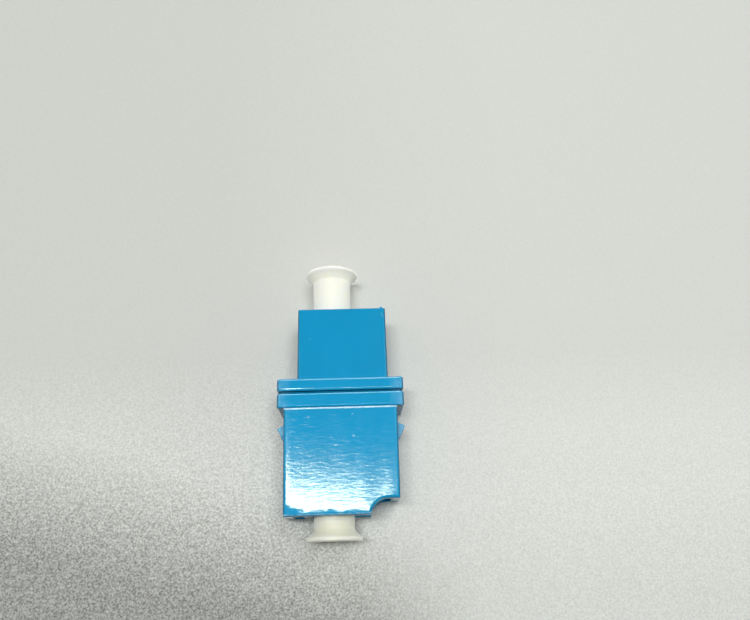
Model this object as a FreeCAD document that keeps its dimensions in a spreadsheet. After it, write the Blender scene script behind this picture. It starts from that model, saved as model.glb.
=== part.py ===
"""Simplex LC fibre adapter: two welded housing halves, a split sleeve and two dust caps.

Frame: the origin lies on the ferrule axis at the optical plane, where the two ferrules meet. +Y runs along
the ferrule axis out of the rear port, +X points to the latch side and +Z is the adapter's short direction.
Each half and each cap is drawn with its port opening along its own +Y. The front ones are then turned half
a turn about X, which keeps the latch on the same side.
"""

import FreeCAD, Part
import math
import os
import Sketcher

# Driving dimensions in millimetres. Widths build up from the ferrule axis outwards, so a change to the
# port, a wall or a gap moves all that lies outside it.
SIZES = [
    ("port_side", 4.7, "side of the square plug opening"),
    ("port_floor", 1.3, "optical plane to the floor of a port"),
    ("port_lead_in", 0.25, "chamfer round the mouth of a port"),
    ("latch_top", 5.0, "ferrule axis to the roof of the latch channel"),
    ("latch_step", 3.9, "ferrule axis to the top of the lane for the latch ears"),
    ("latch_width", 3.5, "width of the room for the latch ears"),
    ("latch_slot", 2.3, "width of the slot for the latch arm"),
    ("latch_stop", 6.6, "optical plane to the shoulders that hold the latch"),
    ("barrel_dia", 2.95, "outside of the barrel round the sleeve"),
    ("barrel_reach", 4.3, "optical plane to the tip of the barrel"),
    ("barrel_chamfer", 0.25, "chamfer on the tip of the barrel"),
    ("ferrule_hole", 1.4, "hole through the lip of the barrel, at its narrow inner end"),
    ("ferrule_lead_in", 0.25, "how much that hole widens all round towards the tip"),
    ("sleeve_bore", 1.249, "inside of the split sleeve"),
    ("sleeve_wall", 0.186, "wall of the split sleeve"),
    ("sleeve_length", 6.8, "length of the split sleeve"),
    ("sleeve_slit", 0.15, "width of the slit along the sleeve"),
    ("sleeve_chamfer", 0.06, "chamfer on the outer ends of the sleeve"),
    ("sleeve_play", 0.08, "gap all round between sleeve and barrel"),
    ("sleeve_end_play", 0.1, "gap between each end of the sleeve and its lip"),
    ("rear_length", 10.1, "optical plane to the rear end"),
    ("rear_side_wall", 0.65, "wall of the rear half over the port's broad sides"),
    ("rear_back_wall", 1.69, "wall of the rear half away from the latch"),
    ("rear_roof", 1.54, "wall of the rear half over the latch channel"),
    ("rear_plate", 1.58, "optical plane to the rear face of the flange"),
    ("front_length", 13.76, "optical plane to the front end"),
    ("front_side_wall", 1.05, "wall of the front half over the port's broad sides"),
    ("front_plate", 1.82, "optical plane to the front face of the flange"),
    ("port_back_wall", 0.95, "inner wall between the port and the back flex room"),
    ("channel_roof", 0.6, "inner wall between the latch channel and its flex room"),
    ("back_flex", 1.21, "depth of the flex room away from the latch"),
    ("latch_flex", 0.83, "depth of the flex room on the latch side"),
    ("tongue_wall", 1.05, "thickness of the outer walls and of the snap tongues in them"),
    ("flex_height", 4.6, "height of the flex rooms"),
    ("flex_floor", 2.7, "optical plane to the floor of the flex rooms"),
    ("thumb_start", 10.3, "optical plane to the thumb room at the front end"),
    ("tongue_width", 3.2, "width of a snap tongue and its wing"),
    ("tongue_slot", 0.4, "width of the slots round a snap tongue"),
    ("tongue_tip", 3.25, "optical plane to the free end of a snap tongue"),
    ("tongue_root", 9.4, "optical plane to the root of a snap tongue"),
    ("wing_reach", 0.88, "height of a snap wing above the wall"),
    ("wing_root", 3.45, "optical plane to the foot of the wing's catch face"),
    ("wing_peak", 3.9, "optical plane to the peak of the wing"),
    ("wing_end", 5.8, "optical plane to the end of the wing's ramp"),
    ("wing_round", 0.12, "fillet on the wing"),
    ("notch_radius", 1.85, "radius of the notch at the front end"),
    ("notch_length", 1.66, "depth of the notch along the axis"),
    ("notch_flat", 1.4, "straight part of the notch at the latch side"),
    ("flange_lip", 0.81, "flange beyond the front half's narrow sides"),
    ("flange_step", 0.1, "front half's broad side above the flange"),
    ("flange_corner", 0.45, "corner radius of the flange"),
    ("flange_round", 0.25, "fillet round each flange plate"),
    ("seam_gap", 0.2, "groove between the two flange plates"),
    ("seam_depth", 0.45, "depth of that groove"),
    ("pin_dia", 1.1, "locating pins of the weld joint"),
    ("pin_length", 0.9, "height of the locating pins"),
    ("pin_edge", 1.25, "pin axis to the narrow end of the flange"),
    ("pin_offset", 1.6, "pin axis to the middle plane"),
    ("pin_play", 0.04, "gap round and above a locating pin"),
    ("draft", 0.007, "taper of each narrow side, per unit of length"),
    ("body_round", 0.34, "fillet on the long edges of both halves and round the front half's end"),
    ("start_round", 0.2, "rounding where the front half's broad sides rise from the flange"),
    ("stub_edge", 0.25, "gate stub to the narrow side of the rear half"),
    ("stub_width", 0.45, "width of the gate stub"),
    ("stub_drop", 0.06, "gate stub to the broad side of the rear half"),
    ("stub_thick", 0.24, "thickness of the gate stub"),
    ("stub_height", 0.25, "height of the gate stub above the rear end"),
    ("cap_play", 0.04, "gap between the front cap and the sides of its port, at the mouth"),
    ("cap_barrel_play", 0.12, "gap between a cap and the barrel inside it"),
    ("cap_draft", 0.018, "taper of a cap's stem, per unit of length"),
    ("rear_cap_lift", 0.87, "port floor to the rear cap"),
    ("front_cap_lift", 1.46, "port floor to the front cap, which is pushed in less far"),
    ("front_cap_stand", 2.6, "length of the front cap outside the front end"),
    ("cap_bore_depth", 6.0, "depth of the bore in a cap's inner end"),
    ("cap_chamfer", 0.3, "chamfer on the inner end of a cap"),
    ("flare_rise", 0.87, "step from the cap's stem out to its rim"),
    ("flare_run", 0.85, "length of the flare"),
    ("flare_hollow", 1.6, "radius of the flare's hollow curve"),
    ("rim_land", 0.4, "thickness of the rim"),
    ("rim_bevel", 0.12, "chamfer on the outer edge of the rim"),
    ("dish_depth", 0.6, "depth of the dish in the outer end of a cap"),
    ("dish_rim", 0.8, "width of the flat ring round the dish"),
]

NODES = ["front_housing", "rear_housing", "alignment_sleeve", "front_dust_cap", "rear_dust_cap"]

# Widths and thicknesses that follow from the driving dimensions, as expressions for the features.
HALF_PORT = "Sizes.port_side / 2"
HALF_ROOM = "Sizes.latch_width / 2"
HALF_SLOT = "Sizes.latch_slot / 2"
FRONT_BACK = "(Sizes.port_side / 2 + Sizes.port_back_wall + Sizes.back_flex + Sizes.tongue_wall)"
FRONT_LATCH = "(Sizes.latch_top + Sizes.channel_roof + Sizes.latch_flex + Sizes.tongue_wall)"
FRONT_THICK = "(Sizes.port_side + 2 * Sizes.front_side_wall)"
REAR_BACK = "(Sizes.port_side / 2 + Sizes.rear_back_wall)"
REAR_LATCH = "(Sizes.latch_top + Sizes.rear_roof)"
REAR_THICK = "(Sizes.port_side + 2 * Sizes.rear_side_wall)"
FLANGE_BACK = f"({FRONT_BACK} + Sizes.flange_lip)"
FLANGE_LATCH = f"({FRONT_LATCH} + Sizes.flange_lip)"
FLANGE_THICK = f"({FRONT_THICK} - 2 * Sizes.flange_step)"
CHAMBER_RADIUS = "(Sizes.sleeve_bore / 2 + Sizes.sleeve_wall + Sizes.sleeve_play)"
CAP_RADIUS = "(Sizes.port_side / 2 - Sizes.cap_play)"
CAP_BORE_RADIUS = "(Sizes.barrel_dia / 2 + Sizes.cap_barrel_play)"
CAP_LENGTH = "(Sizes.front_length + Sizes.front_cap_stand - Sizes.port_floor - Sizes.front_cap_lift)"

doc = FreeCAD.newDocument("lc_adapter")


def fill_sheet():
    """Write the driving dimensions into the sheet, one row each: name, value, meaning."""
    sheet = doc.addObject("Spreadsheet::Sheet", "Sizes")
    for row, (name, value, meaning) in enumerate(SIZES, start=1):
        sheet.set(f"A{row}", name)
        sheet.set(f"B{row}", str(value))
        sheet.set(f"C{row}", meaning)
        sheet.setAlias(f"B{row}", name)
    doc.recompute()
    return sheet


sizes = fill_sheet()


def new_body(name):
    body = doc.addObject("PartDesign::Body", name)
    body.Label = name
    return body


def origin_feature(body, role):
    return next(item for item in body.Origin.OriginFeatures if item.Role == role)


def draw(body, name, role, corners, stand="0"):
    """Closed sketch on one of the body's origin planes, raised by stand along the plane's normal.

    Each corner is two expressions. Two more entries, a radius and a side, bend the edge that leaves the
    corner into an arc with its centre to the left (1) or to the right (-1) of the way round.
    """
    sketch = body.newObject("Sketcher::SketchObject", name)
    sketch.AttachmentSupport = (origin_feature(body, role), [""])
    sketch.MapMode = "FlatFace"
    sketch.setExpression("AttachmentOffset.Base.z", stand)
    points = []
    for index, corner in enumerate(corners):
        angle = 2 * math.pi * index / len(corners)
        start = FreeCAD.Vector(math.cos(angle), math.sin(angle), 0)
        point = sketch.addGeometry(Part.Point(start), True)
        for kind, expression in zip(("DistanceX", "DistanceY"), corner):
            rule = sketch.addConstraint(Sketcher.Constraint(kind, -1, 1, point, 1, 1.0))
            sketch.setExpression(f"Constraints[{rule}]", expression)
        points.append(point)
    doc.recompute()
    for index, corner in enumerate(corners):
        first = points[index]
        second = points[(index + 1) % len(points)]
        begin = sketch.getPoint(first, 1)
        end = sketch.getPoint(second, 1)
        if len(corner) == 2:
            edge = sketch.addGeometry(Part.LineSegment(begin, end), False)
        else:
            edge = sketch.addGeometry(arc_between(begin, end, corner[3]), False)
            if corner[3] < 0:
                first, second = second, first
        sketch.addConstraint(Sketcher.Constraint("Coincident", edge, 1, first, 1))
        sketch.addConstraint(Sketcher.Constraint("Coincident", edge, 2, second, 1))
        if len(corner) == 4:
            radius = sketch.Geometry[edge].Radius
            rule = sketch.addConstraint(Sketcher.Constraint("Radius", edge, radius))
            sketch.setExpression(f"Constraints[{rule}]", corner[2])
    doc.recompute()
    return sketch


def arc_between(begin, end, side):
    """Arc that starts as three quarters of the chord in radius, for the sketch to settle."""
    chord = end - begin
    radius = 0.75 * chord.Length
    normal = FreeCAD.Vector(-chord.y, chord.x, 0).normalize() * side
    centre = (begin + end) / 2 + normal * math.sqrt(radius ** 2 - (chord.Length / 2) ** 2)
    angles = [math.atan2(point.y - centre.y, point.x - centre.x) for point in (begin, end)]
    if side < 0:
        angles.reverse()
    return Part.ArcOfCircle(Part.Circle(centre, FreeCAD.Vector(0, 0, 1), radius), *angles)


def rectangle(left, low, right, high):
    return [(left, low), (right, low), (right, high), (left, high)]


def circle(body, name, across, up, radius):
    """Sketch of one circle on the XZ plane."""
    sketch = body.newObject("Sketcher::SketchObject", name)
    sketch.AttachmentSupport = (origin_feature(body, "XZ_Plane"), [""])
    sketch.MapMode = "FlatFace"
    ring = sketch.addGeometry(Part.Circle(FreeCAD.Vector(1, 1, 0), FreeCAD.Vector(0, 0, 1), 1), False)
    rules = [
        (Sketcher.Constraint("DistanceX", -1, 1, ring, 3, 1.0), across),
        (Sketcher.Constraint("DistanceY", -1, 1, ring, 3, 1.0), up),
        (Sketcher.Constraint("Radius", ring, 1.0), radius),
    ]
    for constraint, expression in rules:
        rule = sketch.addConstraint(constraint)
        sketch.setExpression(f"Constraints[{rule}]", expression)
    doc.recompute()
    return sketch


def extrude(body, kind, name, sketch, length=None, way="both"):
    """Pad or pocket of a sketch to both sides, or with or against the normal of its plane.

    Without a length it runs through all. On the XZ plane, against the normal is towards the port's mouth.
    """
    made = body.newObject(f"PartDesign::{kind}", name)
    made.Profile = sketch
    if way == "both":
        made.SideType = "Symmetric"
    else:
        made.Reversed = (way == "against") == (kind == "Pad")
    if length is None:
        made.Type = "ThroughAll"
    else:
        made.setExpression("Length", length)
    sketch.Visibility = False
    doc.recompute()
    return made


def turned(body, kind, name, corners):
    """Revolution or groove of a profile round the ferrule axis."""
    profile = draw(body, name + "_profile", "XY_Plane", corners)
    made = body.newObject(f"PartDesign::{kind}", name)
    made.Profile = profile
    made.ReferenceAxis = (origin_feature(body, "Y_Axis"), [""])
    made.Angle = 360
    profile.Visibility = False
    doc.recompute()
    return made


def dress(body, kind, name, base, chosen, size):
    """Fillet or chamfer the edges of a feature that the test picks."""
    edges = [f"Edge{index}" for index, edge in enumerate(base.Shape.Edges, start=1) if chosen(edge)]
    made = body.newObject(f"PartDesign::{kind}", name)
    made.Base = (base, edges)
    made.setExpression("Radius" if kind == "Fillet" else "Size", size)
    doc.recompute()
    return made


def lies_flat(edge):
    """True for an edge that stays at one place along the ferrule axis."""
    return edge.BoundBox.YLength < 1e-4


def lies_level(edge):
    """True for an edge that stays at one height above the middle plane."""
    return edge.BoundBox.ZLength < 1e-4


def flange_plate(body, plate):
    """Plate with rounded corners, and the land inside its rim that is welded to the other half."""
    outline = draw(body, "flange_outline", "XY_Plane",
                   rectangle(f"-{FLANGE_BACK}", "Sizes.seam_gap / 2", FLANGE_LATCH, plate))
    slab = extrude(body, "Pad", "flange", outline, FLANGE_THICK)
    corners = dress(body, "Fillet", "flange_corners", slab,
                    lambda edge: not lies_flat(edge), "Sizes.flange_corner")
    dress(body, "Fillet", "flange_rounds", corners, lies_flat, "Sizes.flange_round")
    inset_thick = f"({FLANGE_THICK} / 2 - Sizes.seam_depth)"
    land = draw(body, "land_outline", "XZ_Plane",
                rectangle(f"-({FLANGE_BACK} - Sizes.seam_depth)", f"-{inset_thick}",
                          f"{FLANGE_LATCH} - Sizes.seam_depth", inset_thick))
    extrude(body, "Pad", "weld_land", land, "Sizes.seam_gap", way="against")


def outer_block(body, outline, thick, plate, chosen):
    """Block beyond the flange, with a fillet on those of its edges there that the test picks."""
    block = extrude(body, "Pad", "block", outline, thick)
    beyond = sizes.get(plate) + 0.5
    dress(body, "Fillet", "block_rounds", block,
          lambda edge: edge.BoundBox.YMax > beyond and chosen(edge), "Sizes.body_round")


def port(body, length):
    """Room for one plug: square opening, latch channel with its shoulders, and the barrel inside."""
    inner = [
        (f"-{HALF_PORT}", f"-{HALF_PORT}"),
        (HALF_PORT, f"-{HALF_PORT}"),
        (HALF_PORT, f"-{HALF_ROOM}"),
        ("Sizes.latch_top", f"-{HALF_ROOM}"),
        ("Sizes.latch_top", HALF_ROOM),
        (HALF_PORT, HALF_ROOM),
        (HALF_PORT, HALF_PORT),
        (f"-{HALF_PORT}", HALF_PORT),
    ]
    outer = inner[:3] + [
        ("Sizes.latch_step", f"-{HALF_ROOM}"),
        ("Sizes.latch_step", f"-{HALF_SLOT}"),
        ("Sizes.latch_top", f"-{HALF_SLOT}"),
        ("Sizes.latch_top", HALF_SLOT),
        ("Sizes.latch_step", HALF_SLOT),
        ("Sizes.latch_step", HALF_ROOM),
    ] + inner[5:]
    room = draw(body, "port_section", "XZ_Plane", inner, "-Sizes.port_floor")
    extrude(body, "Pocket", "port_room", room, "Sizes.latch_stop - Sizes.port_floor", way="against")
    mouth = draw(body, "mouth_section", "XZ_Plane", outer, "-Sizes.latch_stop")
    opened = extrude(body, "Pocket", "port_mouth", mouth, way="against")
    end = sizes.get(length)
    side = sizes.get("port_side")

    def frames_mouth(edge):
        box = edge.BoundBox
        at_end = abs(box.YMin - end) < 1e-3 and lies_flat(edge)
        reach = max(-box.XMin, box.XMax, -box.ZMin, box.ZMax)
        return at_end and reach < 0.6 * side and edge.Length > 0.9 * side

    dress(body, "Chamfer", "port_lead_in", opened, frames_mouth, "Sizes.port_lead_in")
    barrel(body)


def barrel(body):
    """Round barrel on the port floor, hollow for half the sleeve and lipped at its tip."""
    radius = "Sizes.barrel_dia / 2"
    tip = "Sizes.barrel_reach"
    turned(body, "Revolution", "barrel", [
        ("0", "Sizes.port_floor / 2"),
        (radius, "Sizes.port_floor / 2"),
        (radius, f"{tip} - Sizes.barrel_chamfer"),
        (f"{radius} - Sizes.barrel_chamfer", tip),
        ("0", tip),
    ])
    chamber_end = "Sizes.sleeve_length / 2 + Sizes.sleeve_end_play"
    hole = "Sizes.ferrule_hole / 2"
    turned(body, "Groove", "barrel_bore", [
        ("0", "0"),
        (CHAMBER_RADIUS, "0"),
        (CHAMBER_RADIUS, chamber_end),
        (hole, chamber_end),
        (f"{hole} + Sizes.ferrule_lead_in", tip),
        ("0", tip),
    ])


def pins(body, kind, side, radius, length, way):
    """Two locating pins or their sockets, on a diagonal of the weld face; side is 1 or -1."""
    places = [
        (f"-({FLANGE_BACK} - Sizes.pin_edge)", f"{side} * Sizes.pin_offset"),
        (f"{FLANGE_LATCH} - Sizes.pin_edge", f"{-side} * Sizes.pin_offset"),
    ]
    for index, (across, up) in enumerate(places, start=1):
        ring = circle(body, f"{kind.lower()}_circle_{index}", across, up, radius)
        extrude(body, kind, f"locating_{kind.lower()}_{index}", ring, length, way)


def rear_housing():
    """Narrow half: flange plate, block with one port, and the locating pins."""
    body = new_body("rear_housing")
    flange_plate(body, "Sizes.rear_plate")
    taper = "Sizes.draft * (Sizes.rear_length - Sizes.rear_plate)"
    outline = draw(body, "block_outline", "XY_Plane", [
        (f"-{REAR_BACK}", "Sizes.rear_plate"),
        (REAR_LATCH, "Sizes.rear_plate"),
        (f"{REAR_LATCH} - {taper}", "Sizes.rear_length"),
        (f"-{REAR_BACK} + {taper}", "Sizes.rear_length"),
    ])
    outer_block(body, outline, REAR_THICK, "rear_plate", lambda edge: not lies_flat(edge))
    port(body, "rear_length")
    pins(body, "Pad", 1, "Sizes.pin_dia / 2", "Sizes.pin_length", "with")
    gate_stub(body, f"({REAR_LATCH} - {taper} - Sizes.stub_edge)", f"({REAR_THICK} / 2)")


def gate_stub(body, side, top):
    """Small torn remains of the moulding gate on the rear end, near its corner."""
    profile = draw(body, "stub_profile", "XY_Plane", [
        (f"{side} - Sizes.stub_width", "Sizes.rear_length - Sizes.stub_height"),
        (side, "Sizes.rear_length - Sizes.stub_height"),
        (side, "Sizes.rear_length"),
        (f"{side} - Sizes.stub_width / 2", "Sizes.rear_length + Sizes.stub_height"),
        (f"{side} - Sizes.stub_width", "Sizes.rear_length"),
    ], f"{top} - Sizes.stub_drop - Sizes.stub_thick")
    extrude(body, "Pad", "gate_stub", profile, "Sizes.stub_thick", way="with")


def front_outline(body):
    """Plan of the wide half's block, with the curved notch in its end corner on the latch side."""
    def side_at(place):
        return f"({FRONT_LATCH} - Sizes.draft * ({place} - Sizes.front_plate))"

    notch_start = "(Sizes.front_length - Sizes.notch_length)"
    taper = "Sizes.draft * (Sizes.front_length - Sizes.front_plate)"
    rise = "sqrt(Sizes.notch_radius ^ 2 - (Sizes.notch_radius - Sizes.notch_length) ^ 2)"
    bend = f"({side_at(notch_start)} - Sizes.notch_flat)"
    return draw(body, "block_outline", "XY_Plane", [
        (f"-{FRONT_BACK}", "Sizes.front_plate"),
        (FRONT_LATCH, "Sizes.front_plate"),
        (side_at(notch_start), notch_start),
        (bend, notch_start, "Sizes.notch_radius", -1),
        (f"{bend} - {rise}", "Sizes.front_length"),
        (f"-{FRONT_BACK} + {taper}", "Sizes.front_length"),
    ])


def start_rounds(body):
    """Rounding of the two long edges where the wide half's block rises from the flange."""
    for side, name in ((1, "upper"), (-1, "lower")):
        top = f"{side} * {FRONT_THICK} / 2"
        low = f"{side} * ({FRONT_THICK} / 2 - Sizes.start_round)"
        waste = draw(body, f"{name}_start_profile", "YZ_Plane", [
            ("Sizes.front_plate", low, "Sizes.start_round", -side),
            ("Sizes.front_plate + Sizes.start_round", top),
            ("Sizes.front_plate", top),
        ])
        extrude(body, "Pocket", f"{name}_start_round", waste)


def flex_rooms(body):
    """Rooms behind the narrow walls, open at the end, that the snap tongues bend into."""
    back = f"({HALF_PORT} + Sizes.port_back_wall)"
    latch = "(Sizes.latch_top + Sizes.channel_roof)"
    half = "Sizes.flex_height / 2"
    spans = {
        "back_room": (f"-({back} + Sizes.back_flex)", f"-{back}"),
        "latch_room": (latch, f"{latch} + Sizes.latch_flex"),
    }
    for name, (low, high) in spans.items():
        section = draw(body, name + "_section", "XZ_Plane",
                       rectangle(low, f"-{half}", high, half), "-Sizes.flex_floor")
        extrude(body, "Pocket", name, section, way="against")
    section = draw(body, "thumb_section", "XZ_Plane",
                   rectangle("0", f"-{HALF_ROOM}", f"{latch} + Sizes.latch_flex / 2", HALF_ROOM),
                   "-Sizes.thumb_start")
    extrude(body, "Pocket", "thumb_room", section, way="against")


def snap_tongue(body, side, wall, flex):
    """Slots that free a tongue in a narrow wall, and the rounded wing on it; side is 1 or -1."""
    name = "latch" if side > 0 else "back"
    half = "Sizes.tongue_width / 2"
    slit = f"({half} + Sizes.tongue_slot)"
    slots = draw(body, f"{name}_slot_outline", "YZ_Plane", [
        ("Sizes.tongue_tip - Sizes.tongue_slot", f"-{slit}"),
        ("Sizes.tongue_root", f"-{slit}"),
        ("Sizes.tongue_root", f"-{half}"),
        ("Sizes.tongue_tip", f"-{half}"),
        ("Sizes.tongue_tip", half),
        ("Sizes.tongue_root", half),
        ("Sizes.tongue_root", slit),
        ("Sizes.tongue_tip - Sizes.tongue_slot", slit),
    ], f"{side} * ({wall} - Sizes.tongue_wall - {flex} / 2)")
    extrude(body, "Pocket", f"{name}_slots", slots, way="with" if side > 0 else "against")

    def at(reach):
        return f"{side} * ({wall} + {reach})"

    foot = "-Sizes.draft * (Sizes.wing_root - Sizes.front_plate)"
    fade = "-Sizes.draft * (Sizes.wing_end - Sizes.front_plate)"
    sunk = "-Sizes.tongue_wall / 2"
    profile = draw(body, f"{name}_wing_profile", "XY_Plane", [
        (at(sunk), "Sizes.wing_root"),
        (at(foot), "Sizes.wing_root"),
        (at("Sizes.wing_reach"), "Sizes.wing_peak"),
        (at(fade), "Sizes.wing_end"),
        (at(sunk), "Sizes.wing_end"),
    ])
    wing = extrude(body, "Pad", f"{name}_wing", profile, "Sizes.tongue_width")
    outermost = max(vertex.X * side for vertex in wing.Shape.Vertexes)

    def reaches_peak(edge):
        return max(vertex.X * side for vertex in edge.Vertexes) > outermost - 1e-3

    dress(body, "Fillet", f"{name}_wing_rounds", wing, reaches_peak, "Sizes.wing_round")


def front_housing():
    """Wide half: flange plate, block with the notch, port, flex rooms and the two snap tongues."""
    body = new_body("front_housing")
    flange_plate(body, "Sizes.front_plate")
    outer_block(body, front_outline(body), FRONT_THICK, "front_plate", lies_level)
    start_rounds(body)
    port(body, "front_length")
    pins(body, "Pocket", -1, "Sizes.pin_dia / 2 + Sizes.pin_play",
         "Sizes.pin_length + Sizes.pin_play", "against")
    flex_rooms(body)
    snap_tongue(body, 1, FRONT_LATCH, "Sizes.latch_flex")
    snap_tongue(body, -1, FRONT_BACK, "Sizes.back_flex")
    face_forward(body)


def face_forward(body):
    """Turn a body half a turn about X, so that its +Y points out of the front port."""
    body.Placement = FreeCAD.Placement(FreeCAD.Vector(), FreeCAD.Rotation(FreeCAD.Vector(1, 0, 0), 180))


def alignment_sleeve():
    """Thin ceramic tube with one slit, centred on the optical plane."""
    body = new_body("alignment_sleeve")
    inside = "Sizes.sleeve_bore / 2"
    outside = f"({inside} + Sizes.sleeve_wall)"
    end = "Sizes.sleeve_length / 2"
    turned(body, "Revolution", "tube", [
        (inside, f"-{end}"),
        (f"{outside} - Sizes.sleeve_chamfer", f"-{end}"),
        (outside, f"-({end} - Sizes.sleeve_chamfer)"),
        (outside, f"{end} - Sizes.sleeve_chamfer"),
        (f"{outside} - Sizes.sleeve_chamfer", end),
        (inside, end),
    ])
    slit = draw(body, "slit_section", "XZ_Plane",
                rectangle("-Sizes.sleeve_slit / 2", "0", "Sizes.sleeve_slit / 2", "Sizes.sleeve_bore"))
    extrude(body, "Pocket", "slit", slit)


def dust_cap(name):
    """Hollow stem that narrows inwards, with a flared rim, drawn from its inner end outwards."""
    body = new_body(name)
    mouth = f"({CAP_LENGTH} - Sizes.front_cap_stand)"
    foot = f"({CAP_LENGTH} - Sizes.rim_land - Sizes.flare_run)"

    def stem_at(place):
        return f"({CAP_RADIUS} + Sizes.cap_draft * ({place} - {mouth}))"

    wall = f"({stem_at('0')} - {CAP_BORE_RADIUS})"
    chamfer = f"min(Sizes.cap_chamfer; {wall} * 2 / 3)"
    rim = f"({CAP_RADIUS} + Sizes.flare_rise)"
    dish = f"({rim} - Sizes.dish_rim)"
    dish_radius = f"({dish} ^ 2 + Sizes.dish_depth ^ 2) / (2 * Sizes.dish_depth)"
    turned(body, "Revolution", "cap", [
        (CAP_BORE_RADIUS, "0"),
        (f"{stem_at('0')} - {chamfer}", "0"),
        (stem_at(chamfer), chamfer),
        (stem_at(foot), foot, "Sizes.flare_hollow", -1),
        (rim, f"{CAP_LENGTH} - Sizes.rim_land"),
        (rim, f"{CAP_LENGTH} - Sizes.rim_bevel"),
        (f"{rim} - Sizes.rim_bevel", CAP_LENGTH),
        (dish, CAP_LENGTH, dish_radius, -1),
        ("0", f"{CAP_LENGTH} - Sizes.dish_depth"),
        ("0", "Sizes.cap_bore_depth"),
        (CAP_BORE_RADIUS, "Sizes.cap_bore_depth"),
    ])
    return body


def dust_caps():
    """The same cap in both ports, each standing its own distance from the port floor."""
    rear = dust_cap("rear_dust_cap")
    rear.setExpression("Placement.Base.y", "Sizes.port_floor + Sizes.rear_cap_lift")
    front = dust_cap("front_dust_cap")
    face_forward(front)
    front.setExpression("Placement.Base.y", "-(Sizes.port_floor + Sizes.front_cap_lift)")


def check_and_export():
    """Refuse a failed feature or a bad shape, then write one STEP file for each node."""
    doc.recompute()
    for item in doc.Objects:
        if "Invalid" in item.State or "Error" in item.State:
            raise RuntimeError(f"{item.Name} is {item.State}")
    os.makedirs("parts", exist_ok=True)
    for name in NODES:
        shape = doc.getObject(name).Shape
        if shape.isNull() or not shape.isValid() or len(shape.Solids) != 1:
            raise RuntimeError(f"{name} is not one valid solid")
        shape.exportStep(f"parts/{name}.step")
        print(f"{name}: {shape.Volume:.2f} mm3, {len(shape.Faces)} faces")


front_housing()
rear_housing()
alignment_sleeve()
dust_caps()
check_and_export()
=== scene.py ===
import math

import bmesh
import bpy
from bpy.props import FloatProperty, FloatVectorProperty, PointerProperty
from mathutils import Euler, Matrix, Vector, noise


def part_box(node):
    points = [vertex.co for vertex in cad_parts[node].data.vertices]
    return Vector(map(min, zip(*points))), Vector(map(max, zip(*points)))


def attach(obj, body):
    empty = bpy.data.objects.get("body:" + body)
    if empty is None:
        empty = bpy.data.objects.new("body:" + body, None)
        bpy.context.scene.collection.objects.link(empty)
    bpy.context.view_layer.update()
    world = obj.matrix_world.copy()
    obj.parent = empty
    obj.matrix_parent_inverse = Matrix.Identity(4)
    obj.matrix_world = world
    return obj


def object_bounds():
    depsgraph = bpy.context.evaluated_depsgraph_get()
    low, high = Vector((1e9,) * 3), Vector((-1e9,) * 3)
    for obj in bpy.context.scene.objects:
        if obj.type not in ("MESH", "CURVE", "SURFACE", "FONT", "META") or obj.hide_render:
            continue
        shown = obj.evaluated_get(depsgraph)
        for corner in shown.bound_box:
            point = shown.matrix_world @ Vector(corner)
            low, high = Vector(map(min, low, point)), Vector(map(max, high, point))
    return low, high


bl_info = {
    "name": "LC fibre adapter looks",
    "version": (1, 0, 0),
    "blender": (4, 5, 0),
    "location": "View3D > Sidebar > Fibre adapter",
    "description": "Finishes a packed simplex fibre adapter with its moulded plastics and stage",
    "category": "Object",
}

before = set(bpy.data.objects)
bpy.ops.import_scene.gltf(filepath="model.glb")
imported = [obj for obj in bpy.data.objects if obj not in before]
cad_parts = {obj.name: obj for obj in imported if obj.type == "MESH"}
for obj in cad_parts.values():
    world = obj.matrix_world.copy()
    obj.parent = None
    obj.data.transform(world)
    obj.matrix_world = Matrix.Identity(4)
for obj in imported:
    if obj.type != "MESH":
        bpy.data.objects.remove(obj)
CAD_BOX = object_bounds()

MM = 0.001

# Places on the adapter in millimetres, in the part's frame: the ferrule axis is X = Z = 0, the optical
# plane is Y = 0, the rear port opens along +Y and the latch side is +X. The narrow rear half's box is as
# wide and as thick as its flange plate.
FRONT_LOW, FRONT_HIGH = [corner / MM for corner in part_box("front_housing")]
REAR_LOW, REAR_HIGH = [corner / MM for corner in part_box("rear_housing")]
FRONT_FACE = FRONT_HIGH.z
FRONT_END = FRONT_LOW.y
FLANGE_BACK_EDGE = REAR_LOW.x
FLANGE_LATCH_EDGE = REAR_HIGH.x
FLANGE_FACE = REAR_HIGH.z

# Places that no box gives: the wide half's sides, the flange plates' outer edges, and the seam between them.
FRONT_BACK_EDGE = -5.56
FRONT_LATCH_EDGE = 7.48
REAR_PLATE_EDGE = 1.58
BLOCK_START = -1.82
SEAM_HALF = 0.1
SEAM_DEPTH = 0.45

# The waves over the ribs behind the wide half's face, and the reach of the fall into its corner.
RIB_START = 2.6
RIB_PITCH = 3.3
CORNER_REACH = 3.2

# The weld bead lies on the seam's bottom: how far in from the flange's outline, the spacing of its rings,
# and how many times wider than high it is.
BEAD_INSET = SEAM_DEPTH - 0.03
BEAD_STEP = 0.12
BEAD_WIDENING = 1.6

# Handling marks on the upper side: specks as (x, y, z, radius) and the two ends of a long scratch. The row of
# specks at x = 6.1 is a raised streak of flash whose pale colour is a painted highlight.
SPECKS_AND_STREAK = [
    (-2.7, -2.95, 3.4, 0.16), (2.4, -5.2, 3.4, 0.2), (2.3, -2.7, 3.4, 0.12), (-4.7, -1.45, 3.3, 0.12),
    (-2.6, 6.4, 3.0, 0.09), (6.1, 9.6, 3.0, 0.09), (6.1, 9.46, 3.0, 0.1), (6.1, 9.32, 3.0, 0.1),
    (6.1, 9.18, 3.0, 0.1), (6.1, 9.04, 3.0, 0.09),
]
SCRATCH = ((-3.6, -5.8), (1.4, -6.2))


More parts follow.
